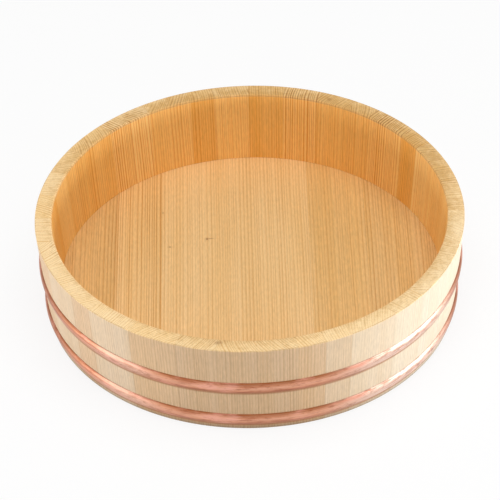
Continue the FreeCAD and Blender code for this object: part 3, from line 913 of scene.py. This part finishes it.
def hoop_section(foot):
    """A hoop's section: flat against the wall, and crowned outside between two rounded edges."""
    along = Vector((math.sin(WALL_LEAN), math.cos(WALL_LEAN)))
    out = Vector((math.cos(WALL_LEAN), -math.sin(WALL_LEAN)))
    start = Vector((outer_radius(foot), foot)) + out * HOOP_GAP
    corners = [(start, 0.0), (start + along * HOOP_WIDTH, 0.0)]
    for step in range(CROWN_STEPS + 1):
        across = 1 - 2 * step / CROWN_STEPS
        rise = HOOP_EDGE + (HOOP_CROWN - HOOP_EDGE) * (1 - across ** 2)
        size = HOOP_EDGE_ROUND if abs(across) == 1 else 0.0
        corners.append((start + along * HOOP_WIDTH * (0.5 + 0.5 * across) + out * rise, size))
    return eased_outline(corners)


def hoop_tree():
    """Sweep a hoop's section right round the wall, with the small unevenness of hammer and mandrel."""
    inputs = {"Section": "Geometry", "Dent": "Float", "Foot": "Float", "Copper": "Material"}
    tree, given, result = new_group("driven_hoop", "GeometryNodeTree", inputs, {"Hoop": "Geometry"})
    mesh, part, radius, height = sweep_section(tree, given["Section"], HOOP_COLUMNS, False)
    angle = calc(tree, "MULTIPLY", part, 2 * math.pi)
    to_right = calc(tree, "MULTIPLY", radius, calc(tree, "COSINE", angle))
    to_back = calc(tree, "MULTIPLY", radius, calc(tree, "SINE", angle))
    up = calc(tree, "DIVIDE", calc(tree, "SUBTRACT", height, given["Foot"]), HOOP_WIDTH)
    mesh = store(tree, mesh, "place", to_right, to_back, up)
    ring = bend_round(tree, mesh, radius, angle, height)
    ring = add_node(tree, "GeometryNodeMergeByDistance", {"Geometry": ring, "Distance": WELD}).outputs[0]
    place = tree.nodes.new("GeometryNodeInputPosition").outputs[0]
    dent = calc(tree, "MULTIPLY", centred(tree, noise(tree, place, DENTS, detail=1.0)), given["Dent"])
    push = scaled(tree, tree.nodes.new("GeometryNodeInputNormal").outputs[0], dent)
    ring = add_node(tree, "GeometryNodeSetPosition", {"Geometry": ring, "Offset": push}).outputs[0]
    end_tree(tree, ring, given["Copper"], result[0])
    return tree


def paint_highlights(tree, colour, place):
    """Paint a highlight onto a hoop round each listed place."""
    level = calc_vector(tree, "MULTIPLY", place, (1, 1, 0))
    for degrees, reach, strength in PAINTED_HIGHLIGHTS:
        turn = math.radians(degrees)
        centre = (RIM_RADIUS * math.cos(turn), RIM_RADIUS * math.sin(turn), 0)
        away = calc_vector(tree, "DISTANCE", level, centre)
        highlight = ramp(tree, away, HIGHLIGHT_HEART * reach, reach, strength, 0.0)
        colour = mix(tree, highlight, colour, HIGHLIGHT_COPPER)
    return colour


def copper():
    """Satin copper: painted dark reflections at edges, sides and back, painted highlights, lines, spots."""
    material, tree, shader = new_material("satin_copper", roughness=0.34, metallic=1.0)
    place = attribute(tree, "place")
    _, to_back, up = parts(tree, place)
    drawn = noise(tree, place, *DRAWN)
    lines = noise(tree, place, *FINE_LINES)
    clouds = noise(tree, place, *CLOUDS)
    spots = noise(tree, place, *SPOTS)
    smudges = noise(tree, place, *SMUDGES)
    waved = calc(tree, "MULTIPLY_ADD", centred(tree, drawn), EDGE_WAVE, up)
    crown = calc(tree, "MINIMUM", ramp(tree, waved, *LOWER_EDGE), ramp(tree, waved, *UPPER_EDGE, 1.0, 0.0))
    ridge_highlight = calc(tree, "MINIMUM", ramp(tree, waved, *RIDGE_START), ramp(tree, waved, *RIDGE_END, 1.0, 0.0))
    # Painted dark reflections along both edges, and a painted highlight along the ridge
    colour = mix(tree, crown, EDGE_DARK_REFLECTION, CROWN_COPPER)
    colour = mix(tree, calc(tree, "MULTIPLY", ridge_highlight, RIDGE_HIGHLIGHT_STRENGTH), colour, RIDGE_HIGHLIGHT_PINK)
    # Painted dark reflection on the sides and back
    colour = mix(tree, ramp(tree, to_back, *SIDES_DARK_REFLECTION), colour, SIDES_REFLECTION_BROWN)
    # Painted highlights at two places round the front
    colour = paint_highlights(tree, colour, place)
    colour = mix(tree, ramp(tree, clouds, *CLOUD_EDGE), colour, CLOUD_PINK)
    colour = mix(tree, ramp(tree, drawn, *DRAWN_EDGE), colour, DRAWN_RED)
    colour = mix(tree, ramp(tree, spots, *SPOT_EDGE), colour, SPOT_BROWN)
    colour = mix(tree, ramp(tree, smudges, *SMUDGE_EDGE), colour, SMUDGE_BROWN)
    colour = scaled(tree, colour, calc(tree, "MULTIPLY_ADD", lines, *LINE_LIGHT))
    tree.links.new(colour, shader["Base Color"])
    rough = calc(tree, "MULTIPLY_ADD", clouds, *CLOUD_ROUGHNESS)
    rough = calc(tree, "MULTIPLY_ADD", calc(tree, "SUBTRACT", 1.0, crown), EDGE_ROUGHNESS, rough)
    tree.links.new(rough, shader["Roughness"])
    height = calc(tree, "MULTIPLY_ADD", lines, FINE_LINE_RELIEF, drawn)
    relief(tree, height, COPPER_RELIEF, shader["Normal"])
    return material


COPPER = copper()
HOOP_TREE = hoop_tree()
for node, hoop_foot in HOOP_FEET.items():
    hoop = add_piece(f"crowned_{node}", outline_mesh(f"{node}_section", hoop_section(hoop_foot)))
    drive = hoop.modifiers.new("drive", "NODES")
    drive.node_group = HOOP_TREE
    set_input(drive, "Dent", HOOP_DENT)
    set_input(drive, "Foot", hoop_foot)
    set_input(drive, "Copper", COPPER)
    settle(hoop, HOOP_CORNER)
    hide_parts(node)
    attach(hoop, "root")


# Bamboo pegs: whittled from split bamboo, flat and pointed at both ends, and driven half into each
# of two neighbours before they are pushed together. They stay hidden in the wood.

BAMBOO_FIBRE = (400, 400, 2500)
FIBRE_EDGE = (0.35, 0.65)
BAMBOO_GROUND = shade(196, 168, 108)
BAMBOO_PALE = shade(228, 206, 150)
BAMBOO_RELIEF = 0.00005


def bamboo():
    """Split bamboo: dense pale fibres in a straw-coloured ground."""
    material, tree, shader = new_material("split_bamboo", roughness=0.5)
    place = tree.nodes.new("ShaderNodeTexCoord").outputs["Object"]
    fibre = noise(tree, place, BAMBOO_FIBRE, detail=3.0)
    colour = mix(tree, ramp(tree, fibre, *FIBRE_EDGE), BAMBOO_GROUND, BAMBOO_PALE)
    tree.links.new(colour, shader["Base Color"])
    relief(tree, fibre, BAMBOO_RELIEF, shader["Normal"])
    return material


BAMBOO = bamboo()
for node in ("stave_pegs", "board_pegs"):
    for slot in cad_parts[node].material_slots:
        slot.material = BAMBOO


# The stage: a pale floor, a white backdrop, soft lamps overhead and at both sides, and the camera
# where the photograph was taken from.

BACKDROP_WHITE = 1.0
AMBIENT = 0.36
STAGE_SIZE = 12.0
STAGE_DROP = 0.0001
STAGE_GREY = (0.94, 0.94, 0.94, 1)
STAGE_GLOW = 0.85

# Each lamp's place, width, height and power in watts. All look at the same point in the tub
LAMPS = {
    "overhead_lamp": ((0.1, -0.3, 1.9), 1.8, 1.8, 25.5),
    "right_lamp": ((1.5, -0.35, 0.12), 0.8, 0.16, 14.5),
    "left_lamp": ((-1.5, -0.5, 0.12), 0.8, 0.16, 9.5),
}
LAMP_AIM = Vector((0, 0, 0.05))

CAMERA_PLACE = Vector((0.0, -2.14656742, 1.78225674))
CAMERA_TURN = (math.radians(-0.74), math.radians(0.01), math.radians(1.54))
CAMERA_HEIGHT_ANGLE = math.radians(38.16)
CAMERA_LENS = 216.576
SENSOR = 36.0


def seen_directly(tree):
    """One for what the camera, a reflection or glass shows, and nought for light on its way."""
    rays = tree.nodes.new("ShaderNodeLightPath").outputs
    mirrored = calc(tree, "MAXIMUM", rays["Is Glossy Ray"], rays["Is Transmission Ray"])
    return calc(tree, "MAXIMUM", rays["Is Camera Ray"], mirrored)


def white_world():
    """White to the camera and in reflections, and a soft even light on everything else."""
    world = bpy.data.worlds.new("white_backdrop")
    world.use_nodes = True
    tree = world.node_tree
    strength = calc(tree, "MULTIPLY_ADD", seen_directly(tree), BACKDROP_WHITE - AMBIENT, AMBIENT)
    background = tree.nodes["Background"]
    background.inputs["Color"].default_value = (1, 1, 1, 1)
    tree.links.new(strength, background.inputs["Strength"])
    bpy.context.scene.world = world


def stage_floor():
    """A wide pale floor that keeps a soft shadow and is white where nothing shades it."""
    mesh = bpy.data.meshes.new("stage_floor")
    half = STAGE_SIZE / 2
    corners = [(x, y, -STAGE_DROP) for x, y in ((-half, -half), (half, -half), (half, half), (-half, half))]
    mesh.from_pydata(corners, [], [(0, 1, 2, 3)])
    material = bpy.data.materials.new("pale_floor")
    material.use_nodes = True
    tree = material.node_tree
    tree.nodes.remove(tree.nodes["Principled BSDF"])
    matt = add_node(tree, "ShaderNodeBsdfDiffuse", {"Color": STAGE_GREY})
    glow = add_node(tree, "ShaderNodeEmission", {"Color": (1, 1, 1, 1), "Strength": 1.0})
    glowing = calc(tree, "MULTIPLY", seen_directly(tree), STAGE_GLOW)
    both = add_node(tree, "ShaderNodeMixShader", {0: glowing, 1: matt.outputs[0], 2: glow.outputs[0]})
    tree.links.new(both.outputs[0], tree.nodes["Material Output"].inputs["Surface"])
    mesh.materials.append(material)
    add_piece("stage_floor", mesh)


def soft_lamp(name, place, width, height, power):
    """A soft lamp with a rectangular face that looks at the tub."""
    lamp = bpy.data.lights.new(name, "AREA")
    lamp.shape = "RECTANGLE"
    lamp.size = width
    lamp.size_y = height
    lamp.energy = power
    holder = add_piece(name, lamp)
    holder.location = place
    holder.rotation_euler = (LAMP_AIM - Vector(place)).to_track_quat("-Z", "Y").to_euler()


def camera():
    """The camera, turned down to the tub and then by its three small turns."""
    data = bpy.data.cameras.new("camera")
    data.lens = CAMERA_LENS
    data.sensor_width = SENSOR
    holder = add_piece("camera", data)
    aim = Vector((0, math.cos(CAMERA_HEIGHT_ANGLE), -math.sin(CAMERA_HEIGHT_ANGLE)))
    right = Vector((1, 0, 0))
    up = right.cross(aim)
    pitch, yaw, roll = CAMERA_TURN
    turn = Matrix.Rotation(yaw, 3, up)
    aim, right = turn @ aim, turn @ right
    turn = Matrix.Rotation(pitch, 3, right)
    aim, up = turn @ aim, turn @ up
    turn = Matrix.Rotation(roll, 3, aim)
    right, up = turn @ right, turn @ up
    turned = Matrix((right, up, -aim)).transposed().to_4x4()
    holder.matrix_world = Matrix.Translation(CAMERA_PLACE) @ turned
    bpy.context.scene.camera = holder


white_world()
stage_floor()
for name, (place, width, height, power) in LAMPS.items():
    soft_lamp(name, place, width, height, power)
camera()
bpy.context.scene.view_settings.view_transform = "Standard"
